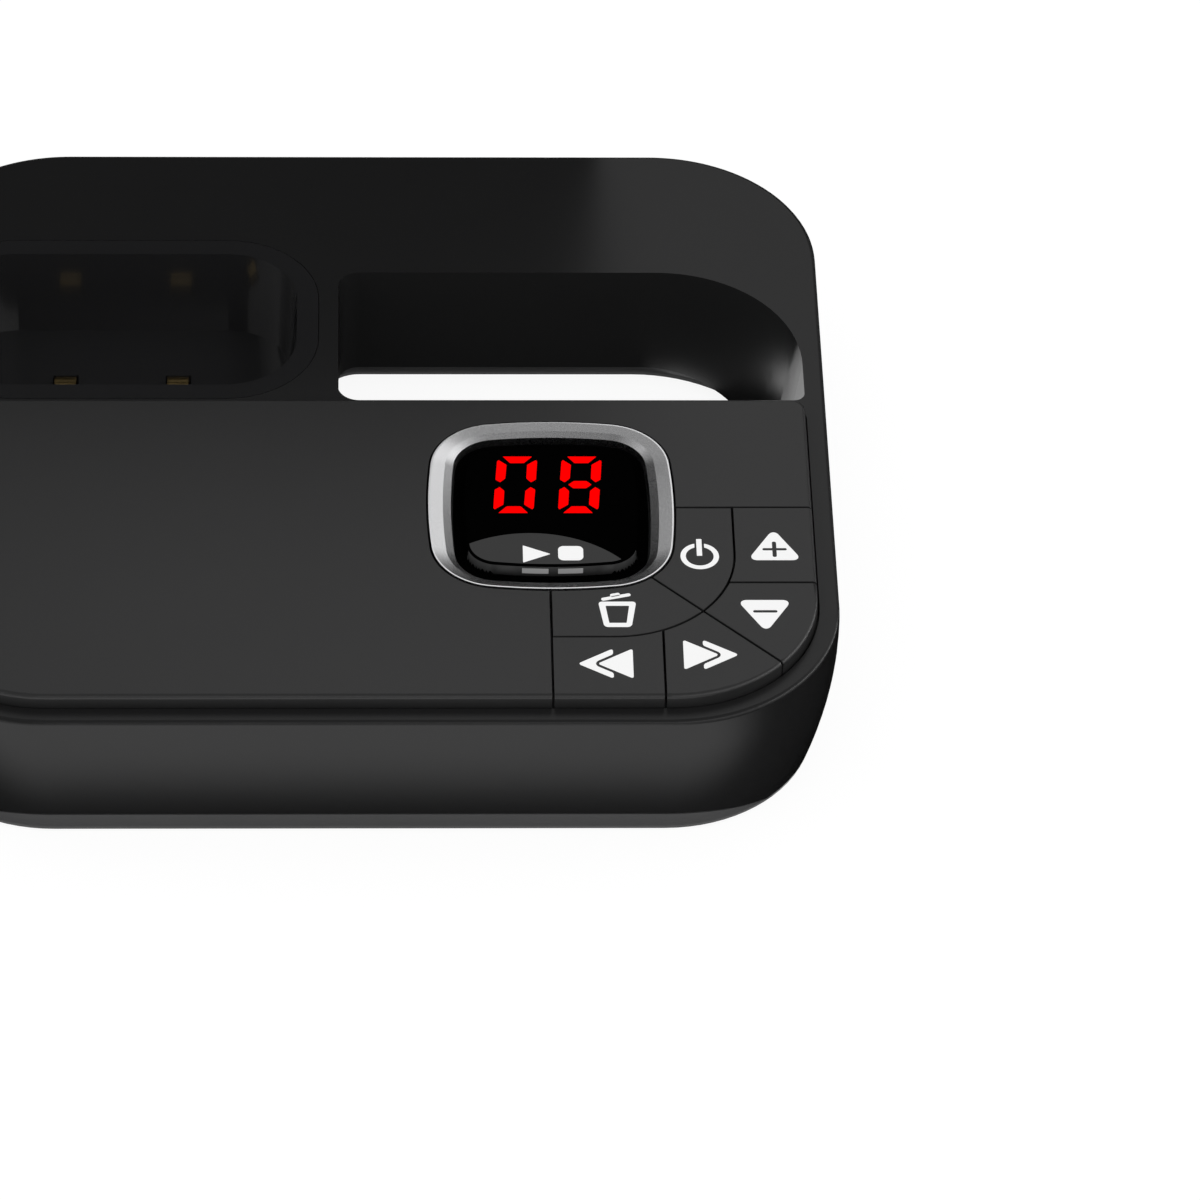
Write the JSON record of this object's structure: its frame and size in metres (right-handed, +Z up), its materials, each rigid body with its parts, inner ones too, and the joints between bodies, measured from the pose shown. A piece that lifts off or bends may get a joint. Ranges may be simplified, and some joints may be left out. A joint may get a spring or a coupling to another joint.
{
  "type": "answering machine",
  "caption": "Low square desk base with a raised control deck, fan-shaped keys round a lit display window, a see-through opening behind and a pocket for a handset.",
  "frame": {"origin": "under the middle of the base, on the surface that it stands on", "axes": "+X to the right, +Y to the back, +Z up"},
  "size_m": [0.1302, 0.12, 0.0235],
  "materials": {
    "casing_black": "moulded black plastic with a low sheen",
    "shell_grey": "plain matte dark grey plastic",
    "deck_satin": "satin dark grey plastic with a very fine texture",
    "bezel_metal": "satin gunmetal plating",
    "inner_black": "plain black plastic",
    "silicone": "soft silicone",
    "board_green": "solder mask over glass board",
    "display_body": "black display body",
    "plain_steel": "tinned steel",
    "chip_black": "moulded chip",
    "sleeve_black": "shrink sleeve",
    "cone_black": "pressed paper",
    "ferrite": "sintered ferrite",
    "tub_gloss": "gloss black plastic",
    "socket_grey": "moulded socket",
    "gold_plate": "gold flash on spring wire",
    "ribbon_grey": "flat cable",
    "foot_rubber": "non-slip rubber",
    "screw_zinc": "zinc plated",
    "lens_gloss": "dark polished window",
    "print_white": "printed signs",
    "print_grey": "printed field behind the window",
    "digit_red": "lit segment"
  },
  "bodies": {
    "base": {"upper_casing": "casing_black", "lower_shell": "shell_grey", "control_panel": "deck_satin", "window_bezel": "bezel_metal", "key_carrier": "inner_black", "keypad_mat": "silicone", "main_board": "board_green", "display_module": "display_body", "radio_shield": "plain_steel", "board_chips": "chip_black", "radio_antennas": "plain_steel", "filter_capacitor": "sleeve_black", "speaker_basket": "plain_steel", "speaker_cone": "cone_black", "speaker_magnet": "ferrite", "cradle_tub": "tub_gloss", "contact_block": "inner_black", "rear_board": "board_green", "line_socket": "socket_grey", "line_socket_pins": "gold_plate", "dc_jack": "inner_black", "dc_jack_pin": "plain_steel", "board_ribbon": "ribbon_grey", "rubber_feet": "foot_rubber", "case_screws": "screw_zinc", "board_screws": "screw_zinc"},
    "power_key": {"power_key": "deck_satin"},
    "delete_key": {"delete_key": "deck_satin"},
    "volume_up_key": {"volume_up_key": "deck_satin"},
    "volume_down_key": {"volume_down_key": "deck_satin"},
    "forward_key": {"forward_key": "deck_satin"},
    "rewind_key": {"rewind_key": "deck_satin"},
    "window_key": {"window_key": "lens_gloss"},
    "charge_contact_left": {"charge_contact_left": "gold_plate"},
    "charge_contact_right": {"charge_contact_right": "gold_plate"}
  },
  "joints": [
    {"name": "power_key_press", "type": "slide", "parent": "base", "child": "power_key", "axis": [0, 0, -1], "range_m": [0, 0.0007], "stiffness_N_per_m": 1000, "springref_m": -0.0003},
    {"name": "delete_key_press", "type": "slide", "parent": "base", "child": "delete_key", "axis": [0, 0, -1], "range_m": [0, 0.0007], "stiffness_N_per_m": 1000, "springref_m": -0.0003},
    {"name": "volume_up_key_press", "type": "slide", "parent": "base", "child": "volume_up_key", "axis": [0, 0, -1], "range_m": [0, 0.0007], "stiffness_N_per_m": 1000, "springref_m": -0.0003},
    {"name": "volume_down_key_press", "type": "slide", "parent": "base", "child": "volume_down_key", "axis": [0, 0, -1], "range_m": [0, 0.0007], "stiffness_N_per_m": 1000, "springref_m": -0.0003},
    {"name": "forward_key_press", "type": "slide", "parent": "base", "child": "forward_key", "axis": [0, 0, -1], "range_m": [0, 0.0007], "stiffness_N_per_m": 1000, "springref_m": -0.0003},
    {"name": "rewind_key_press", "type": "slide", "parent": "base", "child": "rewind_key", "axis": [0, 0, -1], "range_m": [0, 0.0007], "stiffness_N_per_m": 1000, "springref_m": -0.0003},
    {"name": "window_key_press", "type": "slide", "parent": "base", "child": "window_key", "axis": [0, 0, -1], "range_m": [0, 0.0007], "stiffness_N_per_m": 1000, "springref_m": -0.0003},
    {"name": "charge_contact_left_press", "type": "slide", "parent": "base", "child": "charge_contact_left", "axis": [0, 0, -1], "range_m": [0, 0.0012], "stiffness_N_per_m": 600, "springref_m": -0.0005},
    {"name": "charge_contact_right_press", "type": "slide", "parent": "base", "child": "charge_contact_right", "axis": [0, 0, -1], "range_m": [0, 0.0012], "stiffness_N_per_m": 600, "springref_m": -0.0005}
  ]
}
